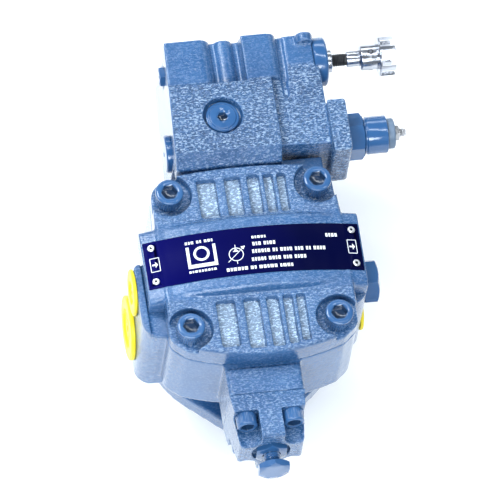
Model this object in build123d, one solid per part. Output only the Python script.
from build123d import *

import math
import os

# Variable-displacement vane pump with a pressure governor, all sizes in millimetres.
# +Z runs along the shaft from the mounting flange to the cover, the origin is the centre of the
# flange face, +Y points to the governor, -Y to the stroke stop, -X to the inlet, +X to the outlet.

os.makedirs("parts", exist_ok=True)

# ---------------------------------------------------------------- driving dimensions
FIT = 0.05          # radial clearance of a running fit
GAP = 0.3           # clearance between bodies that never touch

# heights along the shaft
PILOT_LOW = -9.5
FLANGE_TOP = 14.0
NECK_TOP = 44.0     # underside of the barrel
SEAM = 102.0        # body to cover joint plane
PLATEAU = 121.0     # top of the ribbed cover
SCREW_SEAT = 113.3  # seat of the cover screw heads
CROWN = 128.0       # highest line of the arched band
RING_MID = 78.0     # middle of the cam ring and axis of everything that pushes on it

# mounting flange, two bolts
FLANGE_R = 68.0
PILOT_R = 50.8
EAR_R = 13.0
BOLT_SPAN = 146.05
BOLT_HOLE_R = 7.15
NECK_R = 56.0

# cover outline
SCREW_AT = 50.8
HALF_WIDTH = 64.5
TOP_HALF_WIDTH = 61.5
LOW_SIDE = -64.0
LOW_TIP = -74.0
HIGH_SIDE = 63.0
HIGH_TIP = 68.0
BAND_HALF_X = 75.0
BAND_HALF_Y = 28.0
BAND_ARC_R = 254.0
PLATE_HALF_X = 74.0
PLATE_HALF_Y = 17.6
PLATE_THICK = 0.8
RIVET_X = 68.5
RIVET_Y = 12.6
RIB_POCKETS = [(-31, -18), (-12, -1), (3.5, 12), (15, 21.5), (24, 30)]
RIB_FLOOR = 115.5
HEAD_RECESS_R = 15.5

# side bosses and ports
LEFT_FACE = -80.5
RIGHT_FACE = 76.0
LEFT_BOSS_Y = (-46.0, 9.0)
RIGHT_BOSS_Y = (-34.0, 9.0)
BOSS_LOW = 30.0
LEFT_BOSS_TOP = 105.0
INLET = (-12.0, 51.0)       # Y and Z of each port axis
CASE_DRAIN = (-5.5, 91.4)
OUTLET = (-12.5, 45.5)
THRUST_PLUG = (-7.0, 78.0)

# pumping group
CAVITY_R = 52.0
CAVITY_FLOOR = 52.0
RING_OUTER_R = 42.0
RING_INNER_R = 29.0
RING_HALF = 10.0
CONTROL_R = 18.0
BIAS_R = 9.5
ROTOR_R = 26.4
VANES = 9
VANE_THICK = 2.4
VANE_TIP_R = 26.65
VANE_ROOT_R = 16.6
SLOT_ROOT_R = 16.3
PORT_PLATE_R = 51.9
DOWELS = [(38.9, 27.2), (-38.9, -27.2)]

# shaft
SHAFT_R = 11.11
SEAL_JOURNAL_R = 12.5
COLLAR_R = 15.0
SPLINE_R = 12.0
REAR_JOURNAL_R = 10.0
SHAFT_LOW = -41.0
KEY_WIDTH = 6.35

# stroke stop side
THRUST_X = -3.5
CAP_HALF = 26.0
CAP_HALF_END = 21.8
CAP_START = -95.0
CAP_SEAT = -107.5           # seat of the cap screw heads
CAP_END = -128.0
CAP_Z = (52.0, 104.0)
CAP_HEAD_BORE_R = 8.0
STOP_R = 5.9
STOP_FLATS = 20.8
NUT_SEAT = -124.0
CAP_SCREW_X = 16.0
CAP_SCREW_Z = 18.0

# governor housing
GOV_START = 79.0
GOV_END = 164.3
GOV_STEP = 130.0
GOV_LOW = 50.0
GOV_TOP = 126.0
GOV_RIGHT_TOP = 118.0
EAR_LOW = 78.0              # underside of the ear that carries the cartridge
SPOOL = (93.5, 97.0)        # Y and Z of the governor spool
RELIEF = (149.7, 103.0)     # Y and Z of the remote relief spool
SPRING_POCKET_R = 7.0
PLUNGER_R = 6.8
HUB_END = 73.0              # outer face of the adjuster hub
STEM_R = 4.4
PLUG_X = -6.2
PLUG_Y = 105.0
END_PLUG_SEAT = -41.4       # seats of the two plugs in the left wall
HEX_PLUG_SEAT = -38.2

# ---------------------------------------------------------------- helpers

TURNS = {"x": Rot(0, 90, 0), "y": Rot(-90, 0, 0), "z": Rot(0, 0, 0)}


def spot(axis, along, across):
    """A point at `along` on the axis, with its two other coordinates given in X, Y, Z order."""
    values = list(across)
    values.insert("xyz".index(axis), along)
    return Pos(*values)


def block(x, y, z):
    """A box from its low and high value on each axis."""
    sizes = [high - low for low, high in (x, y, z)]
    middle = [(high + low) / 2 for low, high in (x, y, z)]
    return Pos(*middle) * Box(*sizes)


def rod(axis, radius, span, across):
    """A cylinder along an axis between the two values of span."""
    low, high = sorted(span)
    middle = (low + high) / 2
    return spot(axis, middle, across) * TURNS[axis] * Cylinder(radius, high - low)


def tube(axis, outer, inner, span, across):
    """A rod with a round hole through it."""
    low, high = sorted(span)
    return rod(axis, outer, span, across) - rod(axis, inner, (low - 1, high + 1), across)


def hex_bar(axis, across_flats, span, across, turn=0):
    """A hexagonal bar along an axis."""
    low, high = sorted(span)
    profile = RegularPolygon(across_flats / 2, 6, major_radius=False, rotation=turn)
    return spot(axis, low, across) * TURNS[axis] * extrude(profile, high - low)


def hex_prism(across_flats, high):
    """A small hexagonal prism centred on the origin, for key sockets."""
    return Pos(0, 0, -high / 2) * extrude(RegularPolygon(across_flats / 2, 6, major_radius=False), high)


def round_edges(part, radius, edges):
    """Fillets the edges, with a smaller radius where the full one doesn't fit."""
    for share in (1, 0.75, 0.5, 0.3):
        try:
            result = fillet(edges, radius * share)
        except Exception:
            continue
        if result.is_valid:
            return result
    return part


def ring_edges(part, axis, value):
    """The edges of a part that lie in the plane at `value` on an axis."""
    return part.edges().filter_by_position(axis, value - 0.01, value + 0.01)


def bevel(part, size, axis, value):
    """Chamfers the edges that lie in the plane at `value` on an axis."""
    return chamfer(ring_edges(part, axis, value), size)


def socket_screw(shank_r, head_r, head_high, length, key_flats):
    """A socket head screw along Z with its seat at zero, the head above it and the shank below."""
    head = bevel(Pos(0, 0, head_high / 2) * Cylinder(head_r, head_high), 0.8, Axis.Z, head_high)
    shank = rod("z", shank_r, (-length, 0), (0, 0))
    key = hex_bar("z", key_flats, (head_high * 0.45, head_high + 1), (0, 0))
    return head + bevel(shank, 0.8, Axis.Z, -length) - key


def coil_spring(axis, coil_r, wire_r, span, across, turns):
    """A helical compression spring along an axis, with its wire inside the two values of span."""
    low, high = sorted(span)
    length = high - low - 2 * wire_r
    path = Helix(pitch=length / turns, height=length, radius=coil_r)
    wire = Plane(origin=path @ 0, z_dir=path % 0) * Circle(wire_r)
    spring = sweep(wire, path=path, is_frenet=True)
    return spot(axis, low + wire_r, across) * TURNS[axis] * spring


def cover_outline():
    """The rounded square of the body and cover, fuller towards the stroke stop."""
    corner = 12.5
    sides = [
        Line((-HALF_WIDTH, 20), (-HALF_WIDTH, -55)),
        Line((-HALF_WIDTH, -55), (-54, LOW_SIDE)),
        ThreePointArc((-54, LOW_SIDE), (0, LOW_TIP), (54, LOW_SIDE)),
        Line((54, LOW_SIDE), (HALF_WIDTH, -55)),
        Line((HALF_WIDTH, -55), (HALF_WIDTH, 20)),
        Line((HALF_WIDTH, 20), (TOP_HALF_WIDTH, HIGH_SIDE)),
        ThreePointArc((TOP_HALF_WIDTH, HIGH_SIDE), (0, HIGH_TIP), (-TOP_HALF_WIDTH, HIGH_SIDE)),
        Line((-TOP_HALF_WIDTH, HIGH_SIDE), (-HALF_WIDTH, 20)),
    ]
    face = make_face(sides)
    low = face.vertices().filter_by(lambda v: v.Y < LOW_SIDE + 12)
    face = fillet(low, corner * 0.8)
    high = face.vertices().filter_by(lambda v: v.Y > HIGH_SIDE - 1)
    return fillet(high, corner)


def slab(face, low, high):
    """A flat outline extruded between two heights."""
    return Pos(0, 0, low) * extrude(face, high - low)


# ---------------------------------------------------------------- housing castings


def flange():
    """Round mounting flange with a bolt ear on each side in Y, and its pilot below."""
    outline = make_hull(
        [
            *(Pos(0, BOLT_SPAN / 2) * Circle(EAR_R)).edges(),
            *(Pos(0, -BOLT_SPAN / 2) * Circle(EAR_R)).edges(),
            *Circle(FLANGE_R).edges(),
        ]
    )
    disc = slab(outline, 0, FLANGE_TOP)
    disc = round_edges(disc, 1.5, ring_edges(disc, Axis.Z, FLANGE_TOP))
    pilot = bevel(rod("z", PILOT_R, (PILOT_LOW, 2), (0, 0)), 1.0, Axis.Z, PILOT_LOW)
    return disc + pilot


def side_boss(face_x, inner_x, across, top):
    """A port boss on one side of the body, with a rounded outer corner."""
    boss = block(sorted((face_x, inner_x)), across, (BOSS_LOW, top))
    outer = boss.edges().filter_by(Axis.Z).filter_by_position(Axis.X, face_x - 0.01, face_x + 0.01)
    boss = fillet(outer.sort_by(Axis.Y)[:1], 12)
    outer = boss.edges().filter_by(Axis.Z).filter_by_position(Axis.X, face_x - 0.01, face_x + 0.01)
    return fillet(outer.sort_by(Axis.Y)[-1:], 4)


def pump_body():
    """The main casting: flange, neck, barrel, port bosses and the two pads, then its bores."""
    body = flange() + rod("z", NECK_R, (FLANGE_TOP - 1, NECK_TOP + 1), (0, 0))
    body += slab(cover_outline(), NECK_TOP, SEAM)
    body += side_boss(LEFT_FACE, -50, LEFT_BOSS_Y, LEFT_BOSS_TOP)
    body += side_boss(RIGHT_FACE, 50, RIGHT_BOSS_Y, SEAM)
    body -= block((-BAND_HALF_X - GAP, 0), (-90, 90), (SEAM, LEFT_BOSS_TOP + 1))
    pad_x = (THRUST_X - CAP_HALF, THRUST_X + CAP_HALF)
    pad = block(pad_x, (CAP_START, -40), CAP_Z)
    pad = round_edges(pad, 3, pad.edges().filter_by(Axis.Y))
    body += pad - block((-90, 90), (LOW_TIP - 2, 0), (SEAM, SEAM + 10))
    body += block((-37, 60), (40, GOV_START), (GOV_LOW + 2, SEAM - 1))
    # pumping chamber, bearing and seal bores
    body -= rod("z", CAVITY_R, (CAVITY_FLOOR, SEAM + 1), (0, 0))
    body -= rod("z", 26.0, (36, CAVITY_FLOOR + 1), (0, 0))
    body -= rod("z", 15.0, (0, 40), (0, 0))
    body -= rod("z", 21.0, (PILOT_LOW - 1, 8), (0, 0))
    body -= rod("z", 22.4, (-2.2, -0.2), (0, 0))
    # piston bores towards the governor and the stroke stop
    body -= rod("y", CONTROL_R + FIT, (0, GOV_START + 1), (0, RING_MID))
    body -= rod("y", BIAS_R + FIT, (CAP_START - 1, 0), (THRUST_X, RING_MID))
    # ports
    body -= rod("x", 15.0, (LEFT_FACE - 1, -40), INLET)
    body -= rod("x", 9.0, (LEFT_FACE - 1, -46), CASE_DRAIN)
    body -= rod("x", 9.0, (36, RIGHT_FACE + 1), OUTLET)
    body -= rod("z", 5.0, (OUTLET[1], CAVITY_FLOOR + 1), (36.5, OUTLET[0]))
    body -= rod("x", 8.0, (45, RIGHT_FACE + 1), THRUST_PLUG)
    # threaded holes
    for x in (-SCREW_AT, SCREW_AT):
        for y in (-SCREW_AT, SCREW_AT):
            body -= rod("z", 6.35, (SEAM - 26, SEAM + 1), (x, y))
    for x, z in cap_screw_places():
        body -= rod("y", 4.8, (CAP_START - 1, CAP_START + 18), (x, z))
    for x, z in governor_screw_places():
        body -= rod("y", 4.0, (GOV_START - 19, GOV_START + 1), (x, z))
    for y in (-BOLT_SPAN / 2, BOLT_SPAN / 2):
        body -= rod("z", BOLT_HOLE_R, (-1, FLANGE_TOP + 1), (0, y))
    for place in DOWELS:
        body -= rod("z", 2.5, (CAVITY_FLOOR - 8, CAVITY_FLOOR + 1), place)
    return body


def rib_pockets():
    """Two rows of deep pockets that leave ribs between them on the cover."""
    pockets = None
    low_arc = (LOW_SIDE - LOW_TIP) / 54.0**2
    for left, right in RIB_POCKETS:
        widest = max(abs(left), abs(right))
        low = LOW_TIP + 4.0 + low_arc * widest**2
        for y in ((low, -32.0), (31.0, 60.5 - widest / 40)):
            pocket = block((left, right), y, (RIB_FLOOR, PLATEAU + 5))
            pocket = fillet(pocket.edges().filter_by(Axis.Z), 1.6)
            pockets = pocket if pockets is None else pockets + pocket
    return pockets


def band_profile(radius_shift=0):
    """The arched band seen along Y, from the joint plane up to its arc."""
    radius = BAND_ARC_R + radius_shift
    drop = radius - math.sqrt(radius**2 - BAND_HALF_X**2)
    crown = CROWN + radius_shift
    lines = [
        Line((-BAND_HALF_X, SEAM), (BAND_HALF_X, SEAM)),
        Line((BAND_HALF_X, SEAM), (BAND_HALF_X, crown - drop)),
        ThreePointArc((BAND_HALF_X, crown - drop), (0, crown), (-BAND_HALF_X, crown - drop)),
        Line((-BAND_HALF_X, crown - drop), (-BAND_HALF_X, SEAM)),
    ]
    return Plane.XZ * make_face(lines)


def band():
    """The raised arched band across the cover that carries the name plate."""
    arch = Pos(0, BAND_HALF_Y, 0) * extrude(band_profile(), 2 * BAND_HALF_Y)
    shoulders = arch.edges().filter_by(GeomType.CIRCLE)
    return round_edges(arch, 5.0, shoulders)


def cover():
    """The ribbed cover with its arched band, head recesses and rear bearing seat."""
    top = slab(cover_outline(), SEAM, PLATEAU)
    top = round_edges(top, 2.5, ring_edges(top, Axis.Z, PLATEAU))
    for x in (-SCREW_AT, SCREW_AT):
        for y in (-SCREW_AT, SCREW_AT):
            top -= rod("z", HEAD_RECESS_R, (SCREW_SEAT, PLATEAU + 1), (x, y))
            outer_x = sorted((x, x + math.copysign(30, x)))
            outer_y = sorted((y, y + math.copysign(30, y)))
            top -= block(outer_x, outer_y, (SCREW_SEAT, PLATEAU + 1))
    top -= rib_pockets()
    top += band()
    seat = Pos(0, BAND_HALF_Y, -PLATE_THICK / 2) * extrude(band_profile(), 2 * BAND_HALF_Y)
    top -= block((-PLATE_HALF_X, PLATE_HALF_X), (-PLATE_HALF_Y, PLATE_HALF_Y), (SEAM, 140)) - seat
    for x in (-SCREW_AT, SCREW_AT):
        for y in (-SCREW_AT, SCREW_AT):
            top -= rod("z", 6.8, (SEAM - 1, PLATEAU), (x, y))
    top -= rod("z", 16.0, (SEAM - 1, 116), (0, 0))
    for place in rivet_places():
        top -= place * Cylinder(1.6, 12)
    for place in DOWELS:
        top -= rod("z", 2.5, (SEAM - 1, SEAM + 7), place)
    return top


def governor_outline():
    """Plan view of the governor housing, drafted on both sides."""
    return make_face(
        Polyline(
            (-42.8, GOV_START), (30.5, GOV_START), (34, 82), (67.5, 80.5), (66.3, 113),
            (66.3, 135), (64.5, GOV_END), (-38.3, GOV_END), close=True,
        )
    )


def far_end_sky():
    """The space above the far end of the governor housing: flats, a column and grooves along Y."""
    left_flat, right_flat, floor = GOV_TOP - 1.5, GOV_TOP - 1.0, GOV_TOP - 9.0
    corners = [
        Line((-60, 140), (-60, left_flat)),
        Line((-60, left_flat), (-15, left_flat)),
        ThreePointArc((-15, left_flat), (-9, left_flat - 2.5), (-6.5, floor)),
        Line((-6.5, floor), (-3.5, floor)),
        ThreePointArc((-3.5, floor), (2.5, GOV_TOP - 5.5), (8.5, floor)),
        Line((8.5, floor), (9.5, floor - 2.0)),
        Line((9.5, floor - 2.0), (13.0, floor - 2.0)),
        Line((13.0, floor - 2.0), (14.5, right_flat)),
        Line((14.5, right_flat), (32.0, right_flat)),
        ThreePointArc((32.0, right_flat), (36.5, right_flat - 2.0), (38.5, floor - 1.0)),
        Line((38.5, floor - 1.0), (42.5, floor - 1.0)),
        Line((42.5, floor - 1.0), (44.5, GOV_RIGHT_TOP)),
        Line((44.5, GOV_RIGHT_TOP), (90, GOV_RIGHT_TOP)),
        Line((90, GOV_RIGHT_TOP), (90, 140)),
        Line((90, 140), (-60, 140)),
    ]
    return Pos(0, 175, 0) * extrude(Plane.XZ * make_face(corners), 175 - GOV_STEP)


def front_slope():
    """The sloped front of the raised block, which leans over the body towards the cover."""
    profile = Polyline(
        (GOV_START + 1, GOV_TOP), (GOV_START, GOV_TOP), (GOV_START - 8.5, GOV_TOP - 11),
        (GOV_START - 8.5, SEAM + 2), (GOV_START + 1, SEAM + 2), close=True,
    )
    return Pos(-42.3, 0, 0) * extrude(Plane.YZ * make_face(profile), 73)


def governor_housing():
    """The governor casting: a raised block, a lower right part and a grooved far end."""
    house = slab(governor_outline(), GOV_LOW, GOV_TOP) - far_end_sky()
    house -= block((31, 80), (70, GOV_STEP + 1), (GOV_RIGHT_TOP, GOV_TOP + 1))
    house -= block((38.5, 42.5), (118, GOV_STEP + 1), (GOV_TOP - 10, GOV_TOP + 1))
    house += front_slope()
    ear = block((66.0, 78.5), (70.6, 109.5), (EAR_LOW, GOV_TOP))
    house += fillet(ear.edges().filter_by(Axis.Z).sort_by(Axis.X)[-2:], 2.5)
    house += rod("y", 6.0, (157.0, GOV_END - 0.6), (58.3, GOV_RIGHT_TOP))
    # top plug, spool bores and the pocket of the control spring
    house -= rod("z", 13.5, (GOV_TOP - 6, GOV_TOP + 2), (PLUG_X, PLUG_Y))
    house -= rod("z", 9.5, (GOV_TOP - 14, GOV_TOP), (PLUG_X, PLUG_Y))
    house -= rod("x", 6.0 + FIT, (-50, 80), SPOOL)
    house -= rod("x", SPRING_POCKET_R, (40, 80), SPOOL)
    house -= rod("x", 9.0, (69.5, 80), SPOOL)
    house -= rod("x", 6.0 + FIT, (-50, 70), RELIEF)
    house -= rod("x", SPRING_POCKET_R, (28, 70), RELIEF)
    house -= rod("x", 9.0, (54.5, 70), RELIEF)
    house -= rod("y", 16.0, (GOV_START - 1, GOV_START + 5.5), (0, RING_MID))
    # spot faces for the hub and the two end plugs
    house -= rod("x", 17.4, (63.2, 80), RELIEF)
    house -= rod("x", 8.6, (-50, HEX_PLUG_SEAT), RELIEF)
    house -= rod("x", 13.1, (-50, END_PLUG_SEAT), SPOOL)
    house -= rod("x", 9.0, (-50, -34), SPOOL)
    for x, z in governor_screw_places():
        house -= rod("y", 4.3, (GOV_START - 1, GOV_END + 1), (x, z))
        house -= rod("y", 7.0, (GOV_END - 9, GOV_END + 1), (x, z))
    return house


def thrust_cap():
    """The stroke stop cap: a tapered block with open counterbores for its screws."""
    outline = Polyline(
        (THRUST_X - CAP_HALF, CAP_START), (THRUST_X - CAP_HALF_END, CAP_END),
        (THRUST_X + CAP_HALF_END, CAP_END), (THRUST_X + CAP_HALF, CAP_START), close=True,
    )
    cap = slab(make_face(outline), *CAP_Z)
    cap = round_edges(cap, 3.0, cap.edges().filter_by_position(Axis.Y, CAP_END - 1, CAP_END + 1))
    for x, z in cap_screw_places():
        outward = math.copysign(30, x - THRUST_X)
        upward = math.copysign(30, z - RING_MID)
        open_up = sorted((z, z + upward))
        beside = sorted((z - math.copysign(3, upward), z + upward))
        cap -= rod("y", CAP_HEAD_BORE_R, (CAP_END - 1, CAP_SEAT), (x, z))
        cap -= block((x - CAP_HEAD_BORE_R, x + CAP_HEAD_BORE_R), (CAP_END - 1, CAP_SEAT), open_up)
        cap -= block(sorted((x, x + outward)), (CAP_END - 1, CAP_SEAT), beside)
        cap -= rod("y", 5.0, (CAP_END - 1, CAP_START + 1), (x, z))
    cap -= rod("y", 13.0, (CAP_END - 1, NUT_SEAT), (THRUST_X, RING_MID))
    cap -= rod("y", STOP_R + FIT, (CAP_END - 1, CAP_START + 1), (THRUST_X, RING_MID))
    cap -= rod("y", 10.4, (CAP_START - 6, CAP_START + 1), (THRUST_X, RING_MID))
    return cap


# ---------------------------------------------------------------- fasteners and trim


def cap_screw_places():
    """X and Z of the four screws that hold the stroke stop cap."""
    steps = [(i, k) for i in (-1, 1) for k in (-1, 1)]
    return [(THRUST_X + i * CAP_SCREW_X, RING_MID + k * CAP_SCREW_Z) for i, k in steps]


def governor_screw_places():
    """X and Z of the four long screws that hold the governor housing."""
    return [(x, z) for x in (-28.0, 50.0) for z in (58.0, 80.0)]


def rivet_places():
    """Where the drive rivets stand, square to the arched band."""
    places = []
    for x in (-RIVET_X, RIVET_X):
        drop = BAND_ARC_R - math.sqrt(BAND_ARC_R**2 - x**2)
        tilt = math.degrees(math.asin(x / BAND_ARC_R))
        places += [Pos(x, y, CROWN - drop) * Rot(0, tilt, 0) for y in (-RIVET_Y, RIVET_Y)]
    return places


def cover_screws():
    screw = socket_screw(6.35, 9.525, 12.7, SCREW_SEAT - SEAM + 24, 9.52)
    corners = [(x, y) for x in (-SCREW_AT, SCREW_AT) for y in (-SCREW_AT, SCREW_AT)]
    return [Pos(x, y, SCREW_SEAT) * screw for x, y in corners]


def cap_screws():
    screw = Rot(90, 0, 0) * socket_screw(4.76, 7.14, 9.5, CAP_START - CAP_SEAT + 16, 7.94)
    return [Pos(x, CAP_SEAT, z) * screw for x, z in cap_screw_places()]


def governor_screws():
    screw = Rot(-90, 0, 0) * socket_screw(3.97, 6.5, 8.0, GOV_END - 9 - GOV_START + 17, 6.35)
    return [Pos(x, GOV_END - 9, z) * screw for x, z in governor_screw_places()]


def name_plate():
    """A thin plate bent to the arc of the band."""
    outer = Pos(0, BAND_HALF_Y, PLATE_THICK / 2) * extrude(band_profile(), 2 * BAND_HALF_Y)
    inner = Pos(0, BAND_HALF_Y + 1, -PLATE_THICK / 2) * extrude(band_profile(), 2 * BAND_HALF_Y + 2)
    half_x, half_y = PLATE_HALF_X - 0.1, PLATE_HALF_Y - 0.1
    sheet = block((-half_x, half_x), (-half_y, half_y), (SEAM, 140))
    plate = (sheet & outer) - inner
    for place in rivet_places():
        plate -= place * Cylinder(1.6, 12)
    return plate


def drive_rivets():
    """Round-headed drive rivets that hold the name plate."""
    seat = PLATE_THICK / 2 + 0.02
    head = rod("z", 2.6, (seat, seat + 1.4), (0, 0))
    head = fillet(ring_edges(head, Axis.Z, seat + 1.4), 0.9)
    rivet = head + rod("z", 1.55, (-5.5, seat + 0.5), (0, 0))
    return [place * rivet for place in rivet_places()]


# ---------------------------------------------------------------- shaft group


def shaft():
    """The keyed drive shaft with its bearing journals, collar and spline."""
    steps = [
        (SHAFT_R, SHAFT_LOW, 1.0),
        (SEAL_JOURNAL_R, 1.0, 51.0),
        (COLLAR_R, 51.3, 54.3),
        (SPLINE_R - 1.5, 54.0, 90.0),
        (REAR_JOURNAL_R, 89.0, 114.5),
    ]
    bar = None
    for radius, low, high in steps:
        piece = rod("z", radius, (low, high), (0, 0))
        bar = piece if bar is None else bar + piece
    bar += rod("z", SEAL_JOURNAL_R, (50, 52), (0, 0))
    bar += spline(SPLINE_R, 64.0, 89.0, 0)
    bar = bevel(bar, 1.2, Axis.Z, SHAFT_LOW)
    low = SHAFT_LOW + 4
    return bar - block((-KEY_WIDTH / 2, KEY_WIDTH / 2), (SHAFT_R - 3.3, SHAFT_R + 5), (low, low + 28))


def spline(radius, low, high, extra):
    """Six straight spline teeth about the shaft axis, `extra` wider for the hub."""
    teeth = None
    for step in range(3):
        bar = Rot(0, 0, 60 * step) * block((-radius, radius), (-2.5 - extra, 2.5 + extra), (low, high))
        teeth = bar if teeth is None else teeth + bar
    return teeth & rod("z", radius, (low, high), (0, 0))


def shaft_key():
    low = SHAFT_LOW + 4
    return block((-KEY_WIDTH / 2, KEY_WIDTH / 2), (SHAFT_R - 3.3, SHAFT_R + 3.0), (low, low + 28))


def rotor():
    """The slotted rotor that carries the vanes, splined to the shaft."""
    low, high = RING_MID - RING_HALF + FIT, RING_MID + RING_HALF - FIT
    body = rod("z", ROTOR_R, (low, high), (0, 0))
    body -= rod("z", SPLINE_R - 1.45, (low - 1, high + 1), (0, 0))
    body -= spline(SPLINE_R + 0.05, low - 1, high + 1, 0.05)
    half = VANE_THICK / 2 + FIT
    slot = block((SLOT_ROOT_R, ROTOR_R + 2), (-half, half), (low - 1, high + 1))
    for index in range(VANES):
        body -= Rot(0, 0, 360 / VANES * index) * slot
    return body


def vane(index):
    """One sliding vane in its slot."""
    blade = block(
        (VANE_ROOT_R, VANE_TIP_R), (-VANE_THICK / 2, VANE_THICK / 2),
        (RING_MID - RING_HALF + FIT, RING_MID + RING_HALF - FIT),
    )
    blade = chamfer(blade.edges().filter_by(Axis.Z).sort_by(Axis.X)[-2:], 0.5)
    return Rot(0, 0, 360 / VANES * index) * blade


def ball_centres():
    return [Rot(0, 0, 360 / 9 * i) * Pos(19.25, 0, 43.5) for i in range(9)]


def front_bearing_outer():
    race = tube("z", 26.0, 22.0, (36, 51), (0, 0))
    return race - Pos(0, 0, 43.5) * Torus(19.25, 4.55)


def front_bearing_inner():
    race = tube("z", 16.5, SEAL_JOURNAL_R, (36, 51), (0, 0))
    return race - Pos(0, 0, 43.5) * Torus(19.25, 4.55)


def front_bearing_balls():
    return [centre * Sphere(4.5) for centre in ball_centres()]


def front_bearing_cage():
    cage = tube("z", 20.6, 17.9, (37.5, 49.5), (0, 0))
    for index in range(9):
        cage -= Rot(0, 0, 360 / 9 * index) * rod("x", 4.55, (15, 25), (0, 43.5))
    return cage


def rear_bearing_cup():
    return tube("z", 16.0, 13.1, (SEAM + 1, 114.5), (0, 0))


def rear_bearing_rollers():
    place = [Rot(0, 0, 360 / 18 * i) * Pos(11.55, 0, 108) for i in range(18)]
    return [spot_at * Cylinder(1.45, 10) for spot_at in place]


def shaft_seal():
    seal = tube("z", 21.0, SEAL_JOURNAL_R + 0.3, (0.2, 8), (0, 0))
    return seal - tube("z", 18.5, SEAL_JOURNAL_R + 2.5, (-1, 5), (0, 0))


def retaining_ring():
    ring = tube("z", 22.3, 18.5, (-2.1, -0.3), (0, 0))
    return ring - block((-5, 5), (-30, 0), (-5, 5))


# ---------------------------------------------------------------- pumping group


def port_plate(low, high, hole_r):
    """A side plate with two kidney ports and two dowel holes."""
    plate = rod("z", PORT_PLATE_R, (low, high), (0, 0)) - rod("z", hole_r, (low - 1, high + 1), (0, 0))
    for side in (-1, 1):
        kidney = tube("z", 28.5, 21.0, (low - 1, high + 1), (0, 0)) & block(
            sorted((side * 8, side * 40)), (-24, 24), (low - 1, high + 1)
        )
        plate -= kidney
    for place in DOWELS:
        plate -= rod("z", 2.5, (low - 1, high + 1), place)
    return plate


def front_port_plate():
    plate = port_plate(CAVITY_FLOOR, RING_MID - RING_HALF, 12.8)
    plate -= block((24, 42), (OUTLET[0] - 5, OUTLET[0] + 5), (CAVITY_FLOOR - 1, CAVITY_FLOOR + 6))
    return plate - rod("z", 16.0, (CAVITY_FLOOR - 1, 56), (0, 0))


def rear_port_plate():
    return port_plate(RING_MID + RING_HALF, SEAM, 12.8)


def cam_ring():
    """The sliding ring around the rotor."""
    span = (RING_MID - RING_HALF + FIT, RING_MID + RING_HALF - FIT)
    ring = tube("z", RING_OUTER_R, RING_INNER_R, span, (0, 0))
    for side in (-1, 1):
        flat = sorted((side * 60, side * (RING_OUTER_R - 0.8)))
        ring -= block((-30, 30), flat, (0, 120))
    return ring - block((RING_OUTER_R - 1.0, 60), (-30, 30), (0, 120))


def dowel_pins():
    """Two pins that line up the body, both port plates and the cover, clear of the ring."""
    return [rod("z", 2.45, (CAVITY_FLOOR - 7.5, SEAM + 6.5), place) for place in DOWELS]


def control_piston():
    """The large hollow piston that pushes the ring from the governor side."""
    face = RING_OUTER_R - 0.8 + FIT
    nose = bevel(rod("y", 9.5, (face, 56), (0, RING_MID)), 1.0, Axis.Y, face)
    skirt = rod("y", CONTROL_R, (55, 76), (0, RING_MID))
    return nose + skirt - rod("y", 13.5, (60, 80), (0, RING_MID))


def bias_piston():
    """The small piston that pushes the ring from the stop side, with a tail that meets the stop."""
    face = -RING_OUTER_R + 0.8 - FIT
    piston = rod("y", BIAS_R, (face - 34, face), (THRUST_X, RING_MID))
    tail = rod("y", 4.5, (face - 50, face - 33), (THRUST_X, RING_MID))
    return bevel(piston, 1.0, Axis.Y, face) + tail


# ---------------------------------------------------------------- springs


def control_spring():
    return coil_spring("y", 11.0, 1.6, (60.2, GOV_START + 5.3), (0, RING_MID), 5)


def governor_spring():
    return coil_spring("x", 4.9, 1.0, (41.0, 64.0), SPOOL, 6)


def relief_spring():
    return coil_spring("x", 4.9, 1.0, (29.5, 47.5), RELIEF, 6)


# ---------------------------------------------------------------- governor pieces


def spool(span, across, lands):
    """A valve spool along X: a thin stem with full lands."""
    low, high = span
    stem = rod("x", 3.0, span, across)
    for start, end in lands:
        stem += rod("x", 6.0, (start, end), across)
    return stem


def governor_spool():
    return spool((-24.0, 40.5), SPOOL, [(-24, -14), (-6, 4), (14, 22), (32, 39.5)])


def relief_spool():
    return spool((-26.0, 29.0), RELIEF, [(-26, -17), (-9, 2), (18, 28)])


def governor_spring_seat():
    seat = rod("x", 6.8, (64.5, 66.5), SPOOL)
    return seat + rod("x", 3.6, (60.5, 65.0), SPOOL)


def relief_spring_seat():
    seat = rod("x", 6.8, (48.0, 51.5), RELIEF)
    return seat + rod("x", 3.6, (44.0, 49.0), RELIEF)


def governor_cartridge():
    """The hexagonal cartridge body that screws into the ear of the governor housing."""
    across = SPOOL
    body = hex_bar("x", 27.8, (79.0, 91.0), across)
    body += rod("x", 13.0, (90.0, 107.0), across)
    body += rod("x", 8.95, (70.0, 80.0), across)
    body = bevel(body, 1.0, Axis.X, 107.0) - rod("x", PLUNGER_R + FIT, (60, 104.3), across)
    return body - rod("x", 3.0 + FIT, (100, 120), across)


def governor_cap():
    across = SPOOL
    cap = bevel(rod("x", 10.5, (107.0, 112.5), across), 0.8, Axis.X, 112.5)
    return cap - rod("x", 3.0 + FIT, (100, 120), across)


def governor_screw():
    """The adjusting screw, with the wide plunger that guides it inside the cartridge."""
    across = SPOOL
    screw = bevel(rod("x", 3.0, (103.0, 120.5), across), 0.6, Axis.X, 120.5)
    screw += bevel(rod("x", PLUNGER_R, (66.8, 104.0), across), 0.6, Axis.X, 104.0)
    return screw - hex_bar("x", 3.0, (117.5, 121), across)


def governor_lock_nut():
    across = SPOOL
    return hex_bar("x", 10.0, (112.8, 116.0), across, 30) - rod("x", 3.0 + FIT, (110, 120), across)


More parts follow.
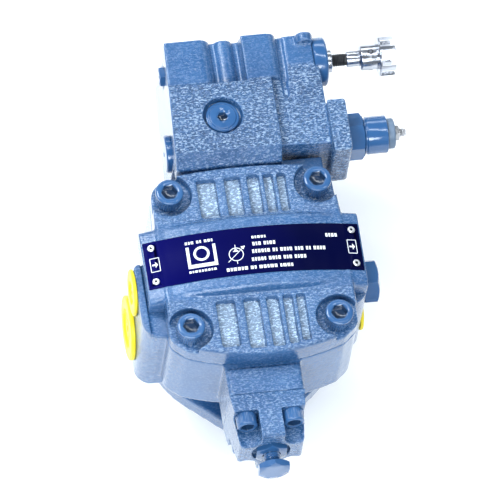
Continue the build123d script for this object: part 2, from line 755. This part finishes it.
def relief_hub():
    """The round threaded hub that holds the adjuster stem."""
    across = RELIEF
    hub = rod("x", 17.0, (63.4, HUB_END), across)
    hub = bevel(hub, 1.0, Axis.X, HUB_END) + rod("x", 8.95, (55.0, 64.0), across)
    return hub - rod("x", STEM_R + FIT, (50, 80), across)


def relief_washer():
    return tube("x", 8.0, STEM_R + FIT, (HUB_END, 77.0), RELIEF)


def relief_stem():
    across = RELIEF
    stem = rod("x", STEM_R, (51.8, 88.0), across)
    return stem + rod("x", 5.5, (87.4, 96.5), across)


def relief_knob():
    """The castellated hand knob on the adjuster stem."""
    across = RELIEF
    hub = rod("x", 8.75, (96.5, 110.0), across)
    crown = tube("x", 13.5, 11.0, (109.0, 120.3), across) + rod("x", 13.5, (109.0, 110.5), across)
    for step in range(3):
        crown -= spot("x", 116, across) * Rot(60 * step + 7, 0, 0) * Box(11, 30, 9.5)
    for turn in (0, 120, 240):
        hub -= spot("x", 103.5, across) * Rot(turn, 0, 0) * Pos(0, 0, 6) * Cylinder(1.6, 6)
    return hub + crown


def relief_set_screws():
    across = RELIEF
    screw = Cylinder(1.55, 4) - Pos(0, 0, 2) * hex_prism(1.5, 2)
    return [spot("x", 103.5, across) * Rot(turn, 0, 0) * Pos(0, 0, 5.6) * screw for turn in (0, 120, 240)]


def governor_top_plug():
    plug = bevel(rod("z", 9.45, (GOV_TOP - 13.5, GOV_TOP - 2), (PLUG_X, PLUG_Y)), 1.0, Axis.Z, GOV_TOP - 2)
    flange_top = GOV_TOP - 3
    plug += rod("z", 11.5, (GOV_TOP - 6, flange_top), (PLUG_X, PLUG_Y))
    return plug - hex_bar("z", 6.35, (GOV_TOP - 8, GOV_TOP), (PLUG_X, PLUG_Y))


def governor_end_plug():
    across = SPOOL
    end = END_PLUG_SEAT - 4.6
    plug = bevel(rod("x", 12.8, (end, END_PLUG_SEAT), across), 0.8, Axis.X, end)
    return plug + rod("x", 8.95, (-42, -34.5), across) - rod("x", 1.5, (end - 1, end + 2), across)


def relief_end_plug():
    across = RELIEF
    end = HEX_PLUG_SEAT - 4.2
    head = bevel(hex_bar("x", 12.7, (end, HEX_PLUG_SEAT), across, 30), 0.6, Axis.X, end)
    return head + rod("x", 5.95, (HEX_PLUG_SEAT - 1, -28), across)


# ---------------------------------------------------------------- stop side pieces


def stop_screw():
    """The stroke stop screw with its hexagon head."""
    across = (THRUST_X, RING_MID)
    shank = rod("y", STOP_R, (-138.0, -93.6), across)
    head = bevel(hex_bar("y", STOP_FLATS, (-143.0, -137.8), across, 30), 1.0, Axis.Y, -143.0)
    return shank + head


def stop_lock_nut():
    across = (THRUST_X, RING_MID)
    low, high = NUT_SEAT - 6.2, NUT_SEAT - 0.2
    nut = bevel(hex_bar("y", STOP_FLATS, (low, high), across, 30), 0.8, Axis.Y, low)
    return nut - rod("y", STOP_R + FIT, (low - 1, high + 1), across)


# ---------------------------------------------------------------- ports


def port_cap(face_x, outward, radius, thick, plug_r, depth, across):
    """A plastic plug pushed into a port, with a flat rim on the boss face."""
    rim = rod("x", radius, (face_x, face_x + outward * thick), across)
    rim = bevel(rim, 0.6, Axis.X, face_x + outward * thick)
    return rim + rod("x", plug_r, (face_x - outward * depth, face_x + outward * 0.5), across)


def inlet_cap():
    return port_cap(LEFT_FACE, -1, 22.3, 3.2, 14.9, 10, INLET)


def case_drain_cap():
    return port_cap(LEFT_FACE, -1, 16.0, 2.4, 8.9, 8, CASE_DRAIN)


def outlet_cap():
    return port_cap(RIGHT_FACE, 1, 13.5, 2.6, 8.9, 8, OUTLET)


def thrust_plug():
    """The hexagonal plug on the outlet side, whose end carries the side load of the ring."""
    plug = hex_bar("x", 27.8, (RIGHT_FACE, RIGHT_FACE + 11.0), THRUST_PLUG, 30)
    plug = bevel(plug, 1.0, Axis.X, RIGHT_FACE + 11.0)
    return plug + rod("x", 7.95, (RING_OUTER_R - 1.0 + FIT, RIGHT_FACE + 1), THRUST_PLUG)


NODES = {
    "pump_body": pump_body,
    "cover": cover,
    "governor_housing": governor_housing,
    "thrust_cap": thrust_cap,
    "cover_screws": cover_screws,
    "cap_screws": cap_screws,
    "governor_screws": governor_screws,
    "name_plate": name_plate,
    "drive_rivets": drive_rivets,
    "shaft": shaft,
    "shaft_key": shaft_key,
    "rotor": rotor,
    "front_bearing_outer_race": front_bearing_outer,
    "front_bearing_inner_race": front_bearing_inner,
    "front_bearing_balls": front_bearing_balls,
    "front_bearing_cage": front_bearing_cage,
    "rear_bearing_cup": rear_bearing_cup,
    "rear_bearing_rollers": rear_bearing_rollers,
    "shaft_seal": shaft_seal,
    "retaining_ring": retaining_ring,
    "front_port_plate": front_port_plate,
    "rear_port_plate": rear_port_plate,
    "cam_ring": cam_ring,
    "dowel_pins": dowel_pins,
    "control_piston": control_piston,
    "bias_piston": bias_piston,
    "control_spring": control_spring,
    "governor_spring": governor_spring,
    "relief_spring": relief_spring,
    "governor_spool": governor_spool,
    "relief_spool": relief_spool,
    "governor_spring_seat": governor_spring_seat,
    "relief_spring_seat": relief_spring_seat,
    "governor_cartridge": governor_cartridge,
    "governor_cap": governor_cap,
    "governor_screw": governor_screw,
    "governor_lock_nut": governor_lock_nut,
    "relief_hub": relief_hub,
    "relief_washer": relief_washer,
    "relief_stem": relief_stem,
    "relief_knob": relief_knob,
    "relief_set_screws": relief_set_screws,
    "governor_top_plug": governor_top_plug,
    "governor_end_plug": governor_end_plug,
    "relief_end_plug": relief_end_plug,
    "stop_screw": stop_screw,
    "stop_lock_nut": stop_lock_nut,
    "inlet_cap": inlet_cap,
    "case_drain_cap": case_drain_cap,
    "outlet_cap": outlet_cap,
    "thrust_plug": thrust_plug,
}

for name, make in NODES.items():
    made = make()
    pieces = made if isinstance(made, list) else [made]
    export_step(Compound(children=[Compound(piece.solids()) for piece in pieces]), f"parts/{name}.step")

for index in range(VANES):
    export_step(vane(index), f"parts/vane_{index + 1}.step")
